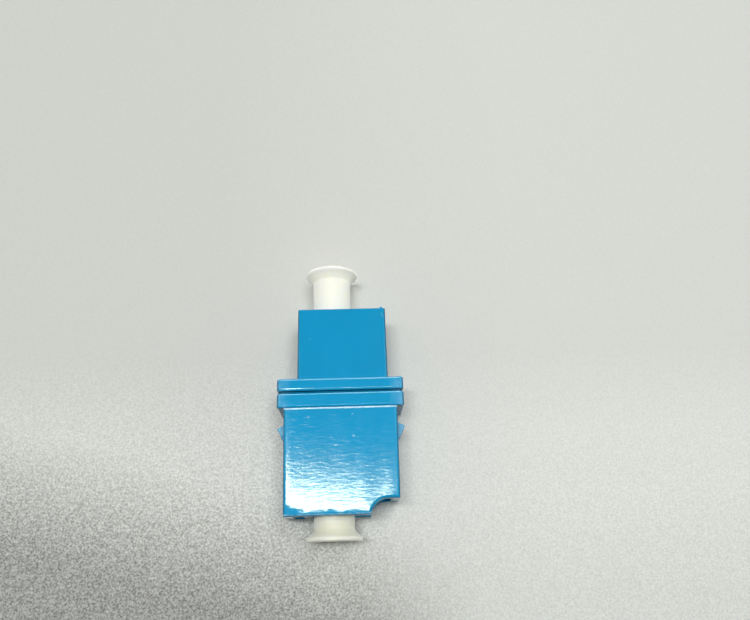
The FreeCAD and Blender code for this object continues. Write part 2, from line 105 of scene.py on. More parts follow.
def linear(hex_colour, alpha=True):
    """Linear colour of an sRGB hex value such as #1E98CB."""
    values = [int(hex_colour[i:i + 2], 16) / 255 for i in (1, 3, 5)]
    values = [v / 12.92 if v <= 0.04045 else ((v + 0.055) / 1.055) ** 2.4 for v in values]
    return (*values, 1.0) if alpha else tuple(values)


def add(tree, kind, inputs=None, **settings):
    """Add a shader node with its settings; each input is a value, or the node or socket that feeds it.

    The numbered inputs of a MapRange are the value, its low and high ends, and what those two turn into.
    """
    made = tree.nodes.new("ShaderNode" + kind)
    for name, value in settings.items():
        setattr(made, name, value)
    for key, value in (inputs or {}).items():
        if isinstance(value, bpy.types.Node):
            value = value.outputs[0]
        if isinstance(value, bpy.types.NodeSocket):
            tree.links.new(value, made.inputs[key])
        else:
            made.inputs[key].default_value = value
    return made


def new_material(name, patterns):
    """Empty material; returns it with its tree, the place on the piece in millimetres, and its noises.

    A pattern is the size of a grain in millimetres along X, Y and Z, where 0 leaves an axis out, and the
    noise's detail.
    """
    material = bpy.data.materials.new(name)
    material.use_nodes = True
    tree = material.node_tree
    tree.nodes.clear()
    place = add(tree, "TexCoord").outputs["Object"]
    place = add(tree, "VectorMath", {0: place, "Scale": 1 / MM}, operation="SCALE").outputs[0]
    noises = {}
    for key, (grain_size, detail) in patterns.items():
        scaled = add(tree, "VectorMath", {0: place, 1: grain_size}, operation="DIVIDE")
        noises[key] = add(tree, "TexNoise", {"Vector": scaled, "Scale": 1.0, "Detail": detail})
    return material, tree, place, noises


def within(tree, value, low, high):
    """1 where the value lies between low and high, else 0."""
    above = add(tree, "Math", {0: value, 1: low}, operation="GREATER_THAN")
    below = add(tree, "Math", {0: value, 1: high}, operation="LESS_THAN")
    return add(tree, "Math", {0: above, 1: below}, operation="MULTIPLY")


def paint(node_name, material):
    """Give a CAD node's material slots this material."""
    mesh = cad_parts[node_name].data
    if not mesh.materials:
        mesh.materials.append(material)
    for index in range(len(mesh.materials)):
        mesh.materials[index] = material


def rider(name, mesh, material, body):
    """Object of a new mesh that rides on a CAD body."""
    mesh.materials.append(material)
    piece = bpy.data.objects.new(name, mesh)
    bpy.context.scene.collection.objects.link(piece)
    bpy.context.view_layer.update()
    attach(piece, body)
    return piece


# ---------------------------------------------------------------- sizes and colours that a user may change

class HalvesLook(bpy.types.PropertyGroup):
    colour: FloatVectorProperty(
        name="Colour", description="Blue of the moulded halves", subtype="COLOR",
        default=linear("#0697CA", alpha=False))
    roughness: FloatProperty(
        name="Roughness", description="Microscopic roughness of the polished mould", default=0.095)
    peel_depth: FloatProperty(
        name="Peel depth", description="Height of the fine waviness", default=0.00025 * MM, unit="LENGTH")
    streak_depth: FloatProperty(
        name="Streak depth", description="Height of the fine streaks across the faces",
        default=0.007 * MM, unit="LENGTH")
    roll_off: FloatProperty(
        name="Roll-off", description="Strength of the fall towards the plates' edges", default=1.0)
    end_fall: FloatProperty(
        name="End fall", description="Fall of the wide half's face at its front end",
        default=0.03 * MM, unit="LENGTH")
    side_fall: FloatProperty(
        name="Side fall", description="Fall of the wide half's face at its back edge",
        default=0.07 * MM, unit="LENGTH")
    corner_fall: FloatProperty(
        name="Corner fall", description="Fall of the wide half's face at the corner between those two",
        default=0.09 * MM, unit="LENGTH")
    rib_waves: FloatProperty(
        name="Rib waves", description="Depth of the sinks over the ribs on the latch side",
        default=0.007 * MM, unit="LENGTH")
    # Also the strength of the painted sheen and painted highlight lines.
    scuff_and_sheen: FloatProperty(
        name="Scuff", description="Strength of the pale specks and rub marks", default=0.3)


class FlashLook(bpy.types.PropertyGroup):
    bead_radius: FloatProperty(
        name="Bead radius", description="Mean radius of the weld bead in the seam",
        default=0.07 * MM, unit="LENGTH")


class CapsLook(bpy.types.PropertyGroup):
    rear_colour: FloatVectorProperty(
        name="Rear cap", description="Warm white of the rear cap", subtype="COLOR",
        default=linear("#FFFEEB", alpha=False))
    # The front cap's duller white is painted shade: both caps are the same polyethylene.
    front_colour: FloatVectorProperty(
        name="Front cap", description="Duller white of the front cap", subtype="COLOR",
        default=linear("#E9E9D6", alpha=False))
    roughness: FloatProperty(name="Roughness", description="Roughness of the satin surface", default=0.38)


class SleeveLook(bpy.types.PropertyGroup):
    colour: FloatVectorProperty(
        name="Colour", description="White of the fired zirconia", subtype="COLOR",
        default=linear("#F1EFE6", alpha=False))


class StageLook(bpy.types.PropertyGroup):
    floor_colour: FloatVectorProperty(
        name="Floor", description="Pale grey of the table", subtype="COLOR",
        default=linear("#CBCDC8", alpha=False))
    lens: FloatProperty(name="Lens", description="Focal length in millimetres", default=33.09, unit="CAMERA")
    ceiling: FloatProperty(name="Ceiling", description="Radiance of the long overhead lamp", default=38.5)
    rear_card: FloatProperty(
        name="Rear card", description="Radiance of the card beyond the rear end", default=8.0)
    side_cards: FloatProperty(
        name="Side cards", description="Radiance of the card on the back side", default=0.9)
    fill: FloatProperty(name="Fill", description="Radiance of the soft box on the latch side", default=7.6)
    wall: FloatProperty(name="Wall", description="Strength of the pale wall near the horizon", default=1.6)
    world: FloatProperty(name="World", description="Strength of the light from overhead", default=0.15)


# ---------------------------------------------------------------- moulded halves

# Sizes of the grains in millimetres along X, Y and Z (0 leaves an axis out), and the noise's detail.
PBT_PATTERNS = {
    "cloud": ((4.0, 4.0, 4.0), 3.0),              # cloudy pigment
    "sinks": ((2.0, 20.0, 3.333), 1.0),           # sink lines along the ribs behind the faces
    "ripple": ((2.222, 0.9091, 2.857), 1.0),      # slow ripples of the mould's polish
    "peel": ((0.3571, 0.3571, 0.3571), 2.0),      # orange peel
    "streaks": ((0.7692, 0.2222, 0.7692), 3.0),   # flow streaks across the faces
    "mould": ((0.8333, 0.25, 0.25), 3.0),         # uneven polish of the mould
    "edges": ((1.667, 0.0, 0.0), 2.0),            # stretches of the plates' edges that roll off more or less
    "ragged": ((0.9091, 2.0, 0.0), 3.0),          # ragged start of the sink at the front end
    "bend": ((0.2, 0.2, 0.2), 2.0),               # what bends the specks out of round
    "wander": ((1.25, 0.0, 0.0), 2.0),            # the scratch's wandering
    "breaks": ((0.3333, 0.0, 0.0), 2.0),          # the scratch's breaks
    "dashes": ((1.429, 0.1111, 0.1111), 2.0),     # rub marks: real ones are finer than can show
    "rubbed": ((2.222, 2.222, 2.222), 2.0),       # places that have rub marks
    "sheen_patches": ((0.7692, 0.7692, 0.7692), 3.0),   # patches of painted sheen on the flange and the wings
    "start_highlight": ((1.111, 0.0, 0.0), 2.0),            # stretches of the painted highlight line on the edge at the flange
    "end_highlight_breaks": ((0.625, 0.3333, 0.0), 3.0),         # breaks in the painted highlight line along the front edge
}


def edge_rolls(tree, place, noises, look):
    """Height in millimetres of the rolls along the flange plates' edges, which fall towards the edge."""
    parts = add(tree, "SeparateXYZ", {0: place})
    along = parts.outputs["Y"]
    uneven = add(tree, "MapRange", {0: noises["edges"], 1: 0.35, 2: 0.65, 3: 0.5, 4: 1.35})
    heavy = add(tree, "MapRange", {0: parts.outputs["X"], 1: -5.4, 2: -2.6, 3: 1.9, 4: 0.8})
    # Each roll: the edge, the signed width of the roll, its slope and its strength along the edge.
    rolls = [
        (-SEAM_HALF, -0.16, 0.14, uneven),
        (REAR_PLATE_EDGE, -0.16, 0.14, uneven),
        (SEAM_HALF, 0.32, 0.075, heavy),
    ]
    margin = 0.01
    height = 0.0
    for edge, width, slope, strength in rolls:
        low, high = sorted((edge, edge + width))
        near = add(tree, "MapRange", {0: along, 1: edge, 2: edge + width, 3: 1.0, 4: 0.0})
        beside = within(tree, along, low - margin, high + margin)
        fall = add(tree, "Math", {0: near, 1: beside}, operation="MULTIPLY")
        fall = add(tree, "Math", {0: fall, 1: strength}, operation="MULTIPLY")
        depth = slope * abs(width) * look.roll_off
        height = add(tree, "Math", {0: fall, 1: -depth, 2: height}, operation="MULTIPLY_ADD")
    return height


def wide_half_falls(tree, place, noises, look, height):
    """The height with the wide half's own falls and waves taken into it, in millimetres."""
    parts = add(tree, "SeparateXYZ", {0: place})
    across, along = parts.outputs["X"], parts.outputs["Y"]
    # A ragged sink along the front end, which reaches further in near the back edge.
    corner = add(tree, "MapRange", {0: across, 1: FRONT_BACK_EDGE, 2: FRONT_BACK_EDGE + 1.8, 3: 1.0, 4: 0.0})
    corner = add(tree, "Math", {0: corner, 1: 2.0}, operation="POWER")
    reach = add(tree, "Math", {0: corner, 1: 0.5, 2: 0.75}, operation="MULTIPLY_ADD")
    ragged = add(tree, "MapRange", {0: noises["ragged"], 1: 0.3, 2: 0.7, 3: -0.2, 4: 0.2})
    start = add(tree, "Math", {0: ragged, 1: FRONT_END + 0.2}, operation="ADD")
    away = add(tree, "Math", {0: along, 1: start}, operation="SUBTRACT")
    away = add(tree, "Math", {0: away, 1: reach}, operation="DIVIDE")
    near = add(tree, "Math", {0: 1.0, 1: away}, operation="SUBTRACT")
    near = add(tree, "Math", {0: near, 1: 0.0}, operation="MAXIMUM")
    sink = add(tree, "Math", {0: near, 1: 2.0}, operation="POWER")
    height = add(tree, "Math", {0: sink, 1: -look.end_fall / MM, 2: height}, operation="MULTIPLY_ADD")
    # A fall over the last millimetre towards the back edge.
    front = add(tree, "Math", {0: along, 1: BLOCK_START}, operation="LESS_THAN")
    side = add(tree, "MapRange", {0: across, 1: FRONT_BACK_EDGE, 2: FRONT_BACK_EDGE + 1.0, 3: 1.0, 4: 0.0})
    side = add(tree, "Math", {0: side, 1: 2.0}, operation="POWER")
    side = add(tree, "Math", {0: side, 1: front}, operation="MULTIPLY")
    height = add(tree, "Math", {0: side, 1: -look.side_fall / MM, 2: height}, operation="MULTIPLY_ADD")
    # A round fall into the corner between those two.
    flat = add(tree, "VectorMath", {0: place, 1: (1.0, 1.0, 0.0)}, operation="MULTIPLY")
    away = add(tree, "VectorMath", {0: flat, 1: (FRONT_BACK_EDGE, FRONT_END, 0.0)}, operation="DISTANCE")
    round_off = add(tree, "MapRange", {0: away.outputs["Value"], 1: 0.0, 2: CORNER_REACH, 3: 1.0, 4: 0.0})
    round_off = add(tree, "Math", {0: round_off, 1: 2.0}, operation="POWER")
    height = add(tree, "Math", {0: round_off, 1: -look.corner_fall / MM, 2: height}, operation="MULTIPLY_ADD")
    # Ribs behind the latch side draw it into waves.
    phase = add(tree, "Math", {0: across, 1: RIB_START}, operation="SUBTRACT")
    phase = add(tree, "Math", {0: phase, 1: 2 * math.pi / RIB_PITCH}, operation="MULTIPLY")
    waves = add(tree, "Math", {0: phase}, operation="SINE")
    waved = add(tree, "MapRange", {0: across, 1: 1.2, 2: 3.2})
    waved = add(tree, "Math", {0: waved, 1: front}, operation="MULTIPLY")
    waves = add(tree, "Math", {0: waves, 1: waved}, operation="MULTIPLY")
    return add(tree, "Math", {0: waves, 1: look.rib_waves / MM, 2: height}, operation="MULTIPLY_ADD")


def handling_marks(tree, place, noises):
    """1 on the specks and the long scratch on the upper side."""
    # What bends the specks out of round by up to a quarter of a millimetre.
    bend = noises["bend"].outputs["Color"]
    bend = add(tree, "VectorMath", {0: bend, 1: (0.5, 0.5, 0.5)}, operation="SUBTRACT")
    bent = add(tree, "VectorMath", {0: bend, 1: (0.5, 0.5, 0.5), 2: place}, operation="MULTIPLY_ADD")
    marks = 0.0
    for x, y, z, radius in SPECKS_AND_STREAK:
        away = add(tree, "VectorMath", {0: bent, 1: (x, y, z)}, operation="DISTANCE").outputs["Value"]
        speck = add(tree, "MapRange", {0: away, 1: 0.2 * radius, 2: radius, 3: 1.0, 4: 0.0})
        marks = add(tree, "Math", {0: speck, 1: marks}, operation="ADD")
    # The scratch: a wandering line 0.1 mm wide, worn through in places.
    parts = add(tree, "SeparateXYZ", {0: place})
    (x0, y0), (x1, y1) = SCRATCH
    slope = (y1 - y0) / (x1 - x0)
    path = add(tree, "Math", {0: parts.outputs["X"], 1: slope, 2: y0 - x0 * slope}, operation="MULTIPLY_ADD")
    wander = add(tree, "Math", {0: noises["wander"], 1: 0.5, 2: -0.25}, operation="MULTIPLY_ADD")
    path = add(tree, "Math", {0: path, 1: wander}, operation="ADD")
    off = add(tree, "Math", {0: parts.outputs["Y"], 1: path}, operation="SUBTRACT")
    off = add(tree, "Math", {0: off}, operation="ABSOLUTE")
    line = add(tree, "MapRange", {0: off, 1: 0.03, 2: 0.08, 3: 0.35, 4: 0.0})
    length = within(tree, parts.outputs["X"], x0, x1)
    line = add(tree, "Math", {0: line, 1: length}, operation="MULTIPLY")
    upper = add(tree, "Math", {0: parts.outputs["Z"], 1: 3.0}, operation="GREATER_THAN")
    line = add(tree, "Math", {0: line, 1: upper}, operation="MULTIPLY")
    broken = add(tree, "MapRange", {0: noises["breaks"], 1: 0.42, 2: 0.55})
    marks = add(tree, "Math", {0: line, 1: broken, 2: marks}, operation="MULTIPLY_ADD")
    return add(tree, "Math", {0: marks, 1: 1.0}, operation="MINIMUM")


def rub_marks(tree, noises, along):
    """1 on dashes about 1.5 mm long and 0.1 mm wide across the adapter, fewer on the narrow half."""
    dashes = add(tree, "MapRange", {0: noises["dashes"], 1: 0.62, 2: 0.72})
    patchy = add(tree, "MapRange", {0: noises["rubbed"], 1: 0.5, 2: 0.62})
    rubs = add(tree, "Math", {0: dashes, 1: patchy}, operation="MULTIPLY")
    half = add(tree, "MapRange", {0: along, 1: REAR_PLATE_EDGE, 2: BLOCK_START, 3: 0.25, 4: 1.0})
    return add(tree, "Math", {0: rubs, 1: half}, operation="MULTIPLY")


def painted_highlights(tree, place, noises, flank):
    """How strong the painted light is: painted sheen on the flange's ends and the wings, and painted
    highlight lines on the wide half's edge at the flange and at its front end.
    """
    parts = add(tree, "SeparateXYZ", {0: place})
    along = parts.outputs["Y"]
    # Painted sheen on the flange's ends and the wings, in patches.
    middle = (FLANGE_LATCH_EDGE + FLANGE_BACK_EDGE) / 2
    half_flange = (FLANGE_LATCH_EDGE - FLANGE_BACK_EDGE) / 2
    half_front = (FRONT_LATCH_EDGE - FRONT_BACK_EDGE) / 2
    across = add(tree, "Math", {0: parts.outputs["X"], 1: middle}, operation="SUBTRACT")
    across = add(tree, "Math", {0: across}, operation="ABSOLUTE")
    ends = add(tree, "MapRange", {0: across, 1: half_flange - 1.8, 2: half_flange - 0.2})
    flange = within(tree, along, BLOCK_START, REAR_PLATE_EDGE)
    ends = add(tree, "Math", {0: ends, 1: flange}, operation="MULTIPLY")
    less = add(tree, "Math", {0: flank, 1: -0.8, 2: 1.0}, operation="MULTIPLY_ADD")
    ends = add(tree, "Math", {0: ends, 1: less}, operation="MULTIPLY")
    outside = add(tree, "Math", {0: across, 1: half_front + 0.04}, operation="GREATER_THAN")
    beyond = add(tree, "Math", {0: along, 1: BLOCK_START - 0.1}, operation="LESS_THAN")
    wings = add(tree, "Math", {0: outside, 1: beyond}, operation="MULTIPLY")
    less = add(tree, "Math", {0: flank, 1: -1.6, 2: 2.0}, operation="MULTIPLY_ADD")
    wings = add(tree, "Math", {0: wings, 1: less}, operation="MULTIPLY")
    sheen_patches = add(tree, "MapRange", {0: noises["sheen_patches"], 1: 0.35, 2: 0.65, 3: 0.1, 4: 0.5})
    painted_light = add(tree, "Math", {0: wings, 1: ends}, operation="ADD")
    painted_light = add(tree, "Math", {0: painted_light, 1: sheen_patches}, operation="MULTIPLY")
    # Painted highlight lines on the edge where the wide half rises from the flange, and on the one at its
    # front end.
    drift = add(tree, "MapRange", {0: noises["start_highlight"], 1: 0.35, 2: 0.65, 3: 1.2, 4: 2.4})
    start_highlight = within(tree, along, BLOCK_START - 0.24, BLOCK_START - 0.02)
    start_highlight = add(tree, "Math", {0: start_highlight, 1: drift}, operation="MULTIPLY")
    end_highlight_breaks = add(tree, "MapRange", {0: noises["end_highlight_breaks"], 1: 0.35, 2: 0.65, 3: 0.1, 4: 1.4})
    end_highlight = within(tree, along, FRONT_END + 0.1, FRONT_END + 0.24)
    end_highlight = add(tree, "Math", {0: end_highlight, 1: end_highlight_breaks}, operation="MULTIPLY")
    edges = add(tree, "Math", {0: start_highlight, 1: end_highlight}, operation="MAXIMUM")
    upper = add(tree, "Math", {0: parts.outputs["Z"], 1: FRONT_FACE - 0.25}, operation="GREATER_THAN")
    edges = add(tree, "Math", {0: edges, 1: upper}, operation="MULTIPLY")
    return add(tree, "Math", {0: edges, 1: painted_light}, operation="MAXIMUM")


def moulded_pbt(look):
    """Polybutylene terephthalate from a polished steel mould: a clear gloss over a saturated blue.

    To the eye: sharp reflections that break up in fine streaks, edges that roll off and catch a line of
    light, duller side faces, painted shade on the side faces, front-facing faces and seam, painted sheen and
    highlight lines on the flange, the wings and the wide half's edges, and specks and rub marks from
    handling.
    """
    material, tree, place, noises = new_material("moulded_pbt_blue", PBT_PATTERNS)
    along = add(tree, "SeparateXYZ", {0: place}).outputs["Y"]
    seam = within(tree, along, -SEAM_HALF - 0.02, SEAM_HALF + 0.02)
    # The side faces come from a rougher part of the mould, with duller gloss; painted shade darkens them and
    # the faces towards the front end.
    facing = add(tree, "NewGeometry").outputs["Normal"]
    facing = add(tree, "SeparateXYZ", {0: facing})
    flank = add(tree, "Math", {0: facing.outputs["X"]}, operation="ABSOLUTE")
    flank = add(tree, "MapRange", {0: flank, 1: 0.35, 2: 0.75})

    # Tone: cloudy pigment, painted shade in the seam, a painted sheen that makes the wide half and flange a
    # shade lighter than the narrow half, and painted shade on the side faces.
    tone = add(tree, "MapRange", {0: noises["cloud"], 1: 0.3, 2: 0.7, 3: 0.915, 4: 0.965})
    painted_sheen_half = add(tree, "Math", {0: along, 1: REAR_PLATE_EDGE + 0.01}, operation="LESS_THAN")
    # Painted shade in the seam and on the side faces, and a painted sheen on the wide half and the flange.
    for mask, change in ((seam, -0.45), (painted_sheen_half, 0.07), (flank, -0.54)):
        factor = add(tree, "Math", {0: mask, 1: change, 2: 1.0}, operation="MULTIPLY_ADD")
        tone = add(tree, "Math", {0: tone, 1: factor}, operation="MULTIPLY")
    # Painted shade on the faces towards the front end.
    front_facing_shade = add(tree, "MapRange", {0: facing.outputs["Y"], 1: -0.9, 2: -0.6, 3: 0.5, 4: 1.0})
    tone = add(tree, "Math", {0: tone, 1: front_facing_shade}, operation="MULTIPLY")
    colour = add(tree, "VectorMath", {0: look.colour, "Scale": tone}, operation="SCALE")

    marks = handling_marks(tree, place, noises)
    rubs = rub_marks(tree, noises, along)
    faint = add(tree, "Math", {0: rubs, 1: 0.3}, operation="MULTIPLY")
    pale = add(tree, "Math", {0: marks, 1: faint}, operation="MAXIMUM")
    # Painted sheen and painted highlight lines, mixed in with the handling marks.
    painted_light = painted_highlights(tree, place, noises, flank)
    pale = add(tree, "Math", {0: pale, 1: painted_light}, operation="MAXIMUM")
    # Specks, scratch and rub marks, with the painted sheen and highlight lines, all mix towards a pale cyan.
    pale = add(tree, "Math", {0: pale, 1: look.scuff_and_sheen}, operation="MULTIPLY")
    colour = add(tree, "MixRGB", {"Fac": pale, "Color1": colour, "Color2": linear("#D8F4FF")})

    # Roughness: uneven from the mould, more on rub marks, most in the seam.
    rough = add(tree, "MapRange", {0: noises["mould"], 1: 0.35, 2: 0.65, 3: -0.01, 4: 0.03})
    rubbed = add(tree, "Math", {0: rubs, 1: 0.10, 2: look.roughness}, operation="MULTIPLY_ADD")
    rough = add(tree, "Math", {0: rough, 1: rubbed}, operation="ADD")
    rough = add(tree, "Math", {0: seam, 1: 0.5, 2: rough}, operation="MULTIPLY_ADD")

    # Gloss: less in the seam, in the flange's corner by the wide half, and on the side faces.
    corner = within(tree, along, BLOCK_START - 0.01, BLOCK_START + 0.26)
    dull = add(tree, "Math", {0: seam, 1: corner}, operation="MAXIMUM")
    sides = add(tree, "Math", {0: flank, 1: 0.6}, operation="MULTIPLY")
    dull = add(tree, "Math", {0: dull, 1: sides}, operation="MAXIMUM")
    gloss = add(tree, "Math", {0: dull, 1: -0.4, 2: 0.5}, operation="MULTIPLY_ADD")

    # Heights in millimetres: sink lines along the ribs, ripples, peel, streaks, rub marks and raised specks.
    height = add(tree, "Math", {0: noises["sinks"], 1: 0.03}, operation="MULTIPLY")
    reliefs = [
        (noises["peel"], look.peel_depth / MM), (noises["ripple"], 0.003),
        (noises["streaks"], look.streak_depth / MM), (rubs, -0.0004), (marks, 0.0025),
    ]
    for relief, depth in reliefs:
        height = add(tree, "Math", {0: relief, 1: depth, 2: height}, operation="MULTIPLY_ADD")
    rolls = edge_rolls(tree, place, noises, look)
    falls = wide_half_falls(tree, place, noises, look, rolls)
    height = add(tree, "Math", {0: height, 1: falls}, operation="ADD")
    bump = add(tree, "Bump", {"Height": height, "Distance": MM, "Strength": 1.0})

    shader = add(tree, "BsdfPrincipled", {
        "Base Color": colour, "Roughness": rough, "IOR": 1.57, "Specular IOR Level": gloss,
        "Specular Tint": linear("#F0FFE4"), "Normal": bump})
    add(tree, "OutputMaterial", {"Surface": shader})
    return material


class ADAPTER_OT_finish_halves(bpy.types.Operator):
    """Give the two moulded halves their blue gloss"""
    bl_idname = "adapter.finish_halves"
    bl_label = "Finish the moulded halves"

    def execute(self, context):
        material = moulded_pbt(context.scene.adapter_halves)
        paint("front_housing", material)
        paint("rear_housing", material)
        return {"FINISHED"}


# ---------------------------------------------------------------- weld bead and flash

def seam_loop():
    """Points round the seam, on the land between the two flange plates, in millimetres."""
    left, right = FLANGE_BACK_EDGE + BEAD_INSET, FLANGE_LATCH_EDGE - BEAD_INSET
    low, high = -FLANGE_FACE + BEAD_INSET, FLANGE_FACE - BEAD_INSET
    corners = [(left, high), (right, high), (right, low), (left, low)]
    points = []
    for (x0, z0), (x1, z1) in zip(corners, corners[1:] + corners[:1]):
        steps = max(8, round(math.hypot(x1 - x0, z1 - z0) / BEAD_STEP))
        points += [(x0 + (x1 - x0) * i / steps, z0 + (z1 - z0) * i / steps) for i in range(steps)]
    return points


def weld_bead(look, sides=8):
    """Uneven bead that the weld squeezed into the seam, as a closed tube."""
    made = bmesh.new()
    rings = []
    middle = (FLANGE_BACK_EDGE + FLANGE_LATCH_EDGE) / 2
    for x, z in seam_loop():
        slow = noise.noise(Vector((x * 0.9, z * 0.9, 3.1)))
        quick = noise.noise(Vector((x * 2.7, z * 2.7, 8.2)))
        radius = look.bead_radius / MM * (1.0 + 0.55 * (slow + 0.5 * quick))
        on_face = abs(abs(z) - (FLANGE_FACE - BEAD_INSET)) < 1e-6
        out = Vector((0, 0, math.copysign(1, z))) if on_face else Vector((math.copysign(1, x - middle), 0, 0))
        ring = []
        for k in range(sides):
            turn = 2 * math.pi * k / sides
            outwards = out * radius * BEAD_WIDENING * math.cos(turn)
            along = Vector((0, radius * math.sin(turn), 0))
            ring.append(made.verts.new((Vector((x, 0, z)) + outwards + along) * MM))
        rings.append(ring)
    for a, b in zip(rings, rings[1:] + rings[:1]):
        for k in range(sides):
            made.faces.new((a[k], a[(k + 1) % sides], b[(k + 1) % sides], b[k]))
    bmesh.ops.recalc_face_normals(made, faces=made.faces)
    mesh = bpy.data.meshes.new("weld_bead")
    made.to_mesh(mesh)
    made.free()
    mesh.shade_smooth()
    return mesh


class ADAPTER_OT_add_flash(bpy.types.Operator):
    """Add the weld bead in the seam"""
    bl_idname = "adapter.add_flash"
    bl_label = "Add the weld bead"

    def execute(self, context):
        material = bpy.data.materials["moulded_pbt_blue"]
        rider("weld_bead", weld_bead(context.scene.adapter_flash), material, "housing")
        return {"FINISHED"}


# ---------------------------------------------------------------- dust caps

LDPE_PATTERNS = {
    "cloud": ((1.667, 1.667, 1.667), 3.0),
    "peel": ((0.2, 0.2, 0.2), 3.0),
}


def moulded_ldpe(name, colour, roughness):
    """Low-density polyethylene, injection moulded: waxy, a little translucent, with a satin skin."""
    material, tree, _, noises = new_material(name, LDPE_PATTERNS)
    tone = add(tree, "MapRange", {0: noises["cloud"], 1: 0.3, 2: 0.7, 3: 0.985, 4: 1.0})
    tinted = add(tree, "VectorMath", {0: colour, "Scale": tone}, operation="SCALE")
    smooth, rougher = roughness - 0.04, roughness + 0.05
    rough = add(tree, "MapRange", {0: noises["peel"], 1: 0.3, 2: 0.7, 3: smooth, 4: rougher})
    bump = add(tree, "Bump", {"Height": noises["peel"], "Distance": 0.004 * MM, "Strength": 1.0})
    # Light wanders about a millimetre inside; the weak sheen stands for what leaves at a low angle.
    shader = add(tree, "BsdfPrincipled", {
        "Base Color": tinted, "Roughness": rough, "IOR": 1.51, "Normal": bump,
        "Subsurface Weight": 1.0, "Subsurface Radius": (1.0, 0.95, 0.8), "Subsurface Scale": 1.2 * MM,
        "Specular IOR Level": 0.3, "Sheen Weight": 0.5, "Sheen Roughness": 0.6})
    add(tree, "OutputMaterial", {"Surface": shader})
    return material


class ADAPTER_OT_finish_caps(bpy.types.Operator):
    """Give both dust caps their waxy white"""
    bl_idname = "adapter.finish_caps"
    bl_label = "Finish the dust caps"

    def execute(self, context):
        look = context.scene.adapter_caps
        paint("rear_dust_cap", moulded_ldpe("moulded_ldpe_bright", look.rear_colour, look.roughness))
        # The front cap: the same polyethylene, with painted shade in its duller white.
        paint("front_dust_cap", moulded_ldpe("moulded_ldpe_painted_shade", look.front_colour, look.roughness))
        return {"FINISHED"}


# ---------------------------------------------------------------- sleeve

# The real grains are under a thousandth of a millimetre, too fine to show: they are drawn 0.08 mm across.
ZIRCONIA_PATTERNS = {"grain": ((0.0833, 0.0833, 0.0833), 2.0)}


def polished_zirconia(look):
    """Fired and polished zirconia: a hard white gloss, brighter than glass, with the faintest grain."""
    material, tree, _, noises = new_material("polished_zirconia", ZIRCONIA_PATTERNS)
    tone = add(tree, "MapRange", {0: noises["grain"], 1: 0.3, 2: 0.7, 3: 0.98, 4: 1.0})
    tinted = add(tree, "VectorMath", {0: look.colour, "Scale": tone}, operation="SCALE")
    rough = add(tree, "MapRange", {0: noises["grain"], 1: 0.3, 2: 0.7, 3: 0.08, 4: 0.14})
    shader = add(tree, "BsdfPrincipled", {"Base Color": tinted, "Roughness": rough, "IOR": 2.15})
    add(tree, "OutputMaterial", {"Surface": shader})
    return material


class ADAPTER_OT_finish_sleeve(bpy.types.Operator):
    """Give the split sleeve its polished zirconia"""
    bl_idname = "adapter.finish_sleeve"
    bl_label = "Finish the split sleeve"

    def execute(self, context):
        paint("alignment_sleeve", polished_zirconia(context.scene.adapter_sleeve))
        return {"FINISHED"}


# ---------------------------------------------------------------- stage

# Where the camera stands, in millimetres, and how it is turned, in degrees.
CAMERA_PLACE = (3.129, -17.949, 81.279)
CAMERA_TURN = (19.600, -0.942, -1.778)

LAMINATE_PATTERNS = {"grain": ((0.2222, 0.2222, 0.2222), 2.0)}


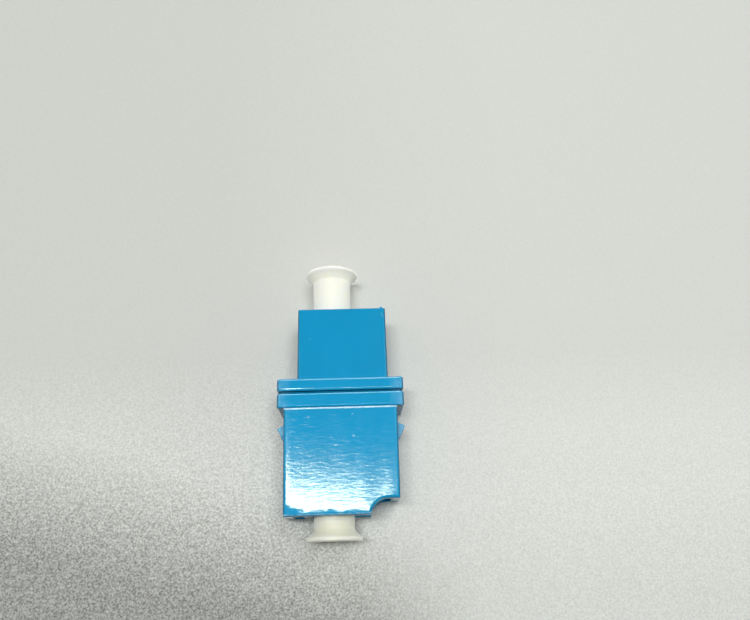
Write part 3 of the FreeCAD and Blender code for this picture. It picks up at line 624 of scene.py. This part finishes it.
def tabletop(look):
    """Pale laminate with a fine matt grain, under a painted shadow and painted light; the grain shows most in
    the painted shadow beside the front end.
    """
    material, tree, place, noises = new_material("pale_laminate", LAMINATE_PATTERNS)
    parts = add(tree, "SeparateXYZ", {0: place})
    across, along = parts.outputs["X"], parts.outputs["Y"]
    # A painted shadow towards the front end and the back side, which ends 50 to 90 mm from the adapter.
    slanted = add(tree, "Math", {0: across, 1: 0.28, 2: along}, operation="MULTIPLY_ADD")
    painted_shadow = add(tree, "MapRange", {0: slanted, 1: -27.0, 2: -13.0, 3: 1.0, 4: 0.0})
    beside = add(tree, "MapRange", {0: across, 1: 3.0, 2: 17.0, 3: 1.0, 4: 0.0})
    painted_shadow = add(tree, "Math", {0: painted_shadow, 1: beside}, operation="MULTIPLY")
    away = add(tree, "VectorMath", {0: place}, operation="LENGTH").outputs["Value"]
    close = add(tree, "MapRange", {0: away, 1: 50.0, 2: 90.0, 3: 1.0, 4: 0.0})
    painted_shadow = add(tree, "Math", {0: painted_shadow, 1: close}, operation="MULTIPLY")
    # The grain is stronger in the painted shadow and towards the front end.
    front = add(tree, "MapRange", {0: along, 1: -14.0, 2: 8.0, 3: 1.0, 4: 0.0})
    beside = add(tree, "MapRange", {0: across, 1: -2.0, 2: 8.0, 3: 1.0, 4: 0.35})
    front = add(tree, "Math", {0: front, 1: beside}, operation="MULTIPLY")
    coarse = add(tree, "Math", {0: painted_shadow, 1: 1.1, 2: 0.15}, operation="MULTIPLY_ADD")
    coarse = add(tree, "Math", {0: front, 1: 1.2, 2: coarse}, operation="MULTIPLY_ADD")
    grain = add(tree, "Math", {0: noises["grain"], 1: 0.5}, operation="SUBTRACT")
    tone = add(tree, "Math", {0: grain, 1: coarse, 2: 1.0}, operation="MULTIPLY_ADD")
    # Painted light and shade: the tone rises across the table, falls in the painted shadow, and a painted
    # pool of light makes it a shade paler in a band beside the wide half.
    painted_rise = add(tree, "MapRange", {0: across, 1: -15.0, 2: 25.0, 3: 0.985, 4: 1.07})
    painted_pool = add(tree, "MapRange", {0: along, 1: -4.0, 2: 6.0, 3: 1.0, 4: 0.0})
    band_start = add(tree, "MapRange", {0: along, 1: -24.0, 2: -12.0})
    painted_pool = add(tree, "Math", {0: painted_pool, 1: band_start}, operation="MULTIPLY")
    shadow_factor = add(tree, "Math", {0: painted_shadow, 1: -0.46, 2: 1.0}, operation="MULTIPLY_ADD")
    pool_factor = add(tree, "Math", {0: painted_pool, 1: 0.08, 2: 1.0}, operation="MULTIPLY_ADD")
    for factor in (painted_rise, shadow_factor, pool_factor):
        tone = add(tree, "Math", {0: tone, 1: factor}, operation="MULTIPLY")
    tinted = add(tree, "VectorMath", {0: look.floor_colour, "Scale": tone}, operation="SCALE")
    shader = add(tree, "BsdfPrincipled", {"Base Color": tinted, "Roughness": 0.7, "Specular IOR Level": 0.2})
    add(tree, "OutputMaterial", {"Surface": shader})
    return material


def floor_plate(look, side=1.2):
    """Floor under the adapter's lowest point."""
    lowest = CAD_BOX[0].z
    mesh = bpy.data.meshes.new("floor")
    half = side / 2
    corners = [(-half, -half, lowest), (half, -half, lowest), (half, half, lowest), (-half, half, lowest)]
    mesh.from_pydata(corners, [], [(0, 1, 2, 3)])
    mesh.materials.append(tabletop(look))
    floor = bpy.data.objects.new("floor", mesh)
    bpy.context.scene.collection.objects.link(floor)


def area_lamp(name, place, aim, size, radiance, roll=0.0):
    """Rectangular lamp at place that faces aim; its power follows from its radiance and its area."""
    lamp = bpy.data.lights.new(name, "AREA")
    lamp.shape = "RECTANGLE"
    lamp.size, lamp.size_y = size
    lamp.energy = radiance * math.pi * size[0] * size[1]
    holder = bpy.data.objects.new(name, lamp)
    holder.location = place
    facing = (Vector(aim) - Vector(place)).to_track_quat("-Z", "Y")
    holder.rotation_euler = (facing.to_matrix() @ Euler((0, 0, roll)).to_matrix()).to_euler()
    bpy.context.scene.collection.objects.link(holder)
    return holder


def world_light(look):
    """Light from all round: a pale wall near the horizon, brighter beyond the rear end, and a dim ceiling."""
    world = bpy.data.worlds.new("studio")
    world.use_nodes = True
    tree = world.node_tree
    tree.nodes.clear()
    parts = add(tree, "SeparateXYZ", {0: add(tree, "TexCoord").outputs["Generated"]})
    wall = add(tree, "MapRange", {0: parts.outputs["Z"], 1: 0.0, 2: 0.6, 3: look.wall, 4: 0.0})
    rear = add(tree, "MapRange", {0: parts.outputs["Y"], 1: -0.7, 2: 1.0, 3: 0.0, 4: 1.3})
    latch = add(tree, "MapRange", {0: parts.outputs["X"], 1: -1.0, 2: 1.0, 3: 0.8, 4: 1.25})
    wall = add(tree, "Math", {0: wall, 1: rear}, operation="MULTIPLY")
    wall = add(tree, "Math", {0: wall, 1: latch}, operation="MULTIPLY")
    # A pale haze low on the horizon, seen behind the table from every side.
    haze = add(tree, "MapRange", {0: parts.outputs["Z"], 1: 0.02, 2: 0.2, 3: 0.8, 4: 0.0})
    strength = add(tree, "Math", {0: wall, 1: haze}, operation="MAXIMUM")
    strength = add(tree, "Math", {0: strength, 1: look.world}, operation="MAXIMUM")
    lit = add(tree, "Background", {"Color": linear("#FFFFFC"), "Strength": strength})
    add(tree, "OutputWorld", {"Surface": lit})
    bpy.context.scene.world = world


def place_camera(look):
    """Camera above the front end, tilted 20 degrees off the vertical towards the rear."""
    camera = bpy.data.cameras.new("camera")
    camera.lens = look.lens
    camera.sensor_width = 36
    camera.clip_start = 0.005
    camera.clip_end = 20
    holder = bpy.data.objects.new("camera", camera)
    holder.location = Vector(CAMERA_PLACE) * MM
    holder.rotation_euler = [math.radians(angle) for angle in CAMERA_TURN]
    bpy.context.scene.collection.objects.link(holder)
    bpy.context.scene.camera = holder


class ADAPTER_OT_build_stage(bpy.types.Operator):
    """Build the floor, the lights and the camera"""
    bl_idname = "adapter.build_stage"
    bl_label = "Build the stage"

    def execute(self, context):
        look = context.scene.adapter_stage
        floor_plate(look)
        box = area_lamp("latch_side", (0.14, 0.09, 0.60), (0.14, 0.09, 0), (0.18, 0.36), look.fill)
        box.visible_glossy = False
        area_lamp("ceiling", (-0.09, 0.0175, 0.60), (-0.09, 0.0175, 0), (0.245, 0.06), look.ceiling,
                  math.radians(-10))
        # Cards that only the gloss shows, beyond the rear end and at both sides.
        cards = [
            area_lamp("rear_card", (-0.01, 0.46, 0.40), (-0.01, 0, 0), (0.25, 0.42), look.rear_card),
            area_lamp("back_card", (-0.28, 0.10, 0.55), (0, 0, 0), (0.12, 0.7), look.side_cards),
            area_lamp("latch_card", (0.28, 0.10, 0.55), (0, 0, 0), (0.12, 0.7), look.side_cards * 1.3),
        ]
        for card in cards:
            card.visible_diffuse = False
        world_light(look)
        place_camera(look)
        context.scene.view_settings.view_transform = "Standard"
        return {"FINISHED"}


class ADAPTER_PT_looks(bpy.types.Panel):
    bl_idname = "ADAPTER_PT_looks"
    bl_label = "Fibre adapter"
    bl_space_type = "VIEW_3D"
    bl_region_type = "UI"
    bl_category = "Fibre adapter"

    def draw(self, context):
        for group, operator in STEPS:
            box = self.layout.box()
            look = getattr(context.scene, group)
            for name in look.bl_rna.properties.keys():
                if name not in ("rna_type", "name"):
                    box.prop(look, name)
            box.operator(operator)


LOOKS = {
    "adapter_halves": HalvesLook,
    "adapter_flash": FlashLook,
    "adapter_caps": CapsLook,
    "adapter_sleeve": SleeveLook,
    "adapter_stage": StageLook,
}
OPERATORS = [
    ADAPTER_OT_finish_halves,
    ADAPTER_OT_add_flash,
    ADAPTER_OT_finish_caps,
    ADAPTER_OT_finish_sleeve,
    ADAPTER_OT_build_stage,
]
STEPS = list(zip(LOOKS, [operator.bl_idname for operator in OPERATORS]))


def register():
    for kind in (*LOOKS.values(), *OPERATORS, ADAPTER_PT_looks):
        bpy.utils.register_class(kind)
    for name, kind in LOOKS.items():
        setattr(bpy.types.Scene, name, PointerProperty(type=kind))


def unregister():
    for name in LOOKS:
        delattr(bpy.types.Scene, name)
    for kind in reversed((*LOOKS.values(), *OPERATORS, ADAPTER_PT_looks)):
        bpy.utils.unregister_class(kind)


def main():
    register()
    for _, operator in STEPS:
        group, name = operator.split(".")
        getattr(getattr(bpy.ops, group), name)()


if __name__ == "__main__":
    main()
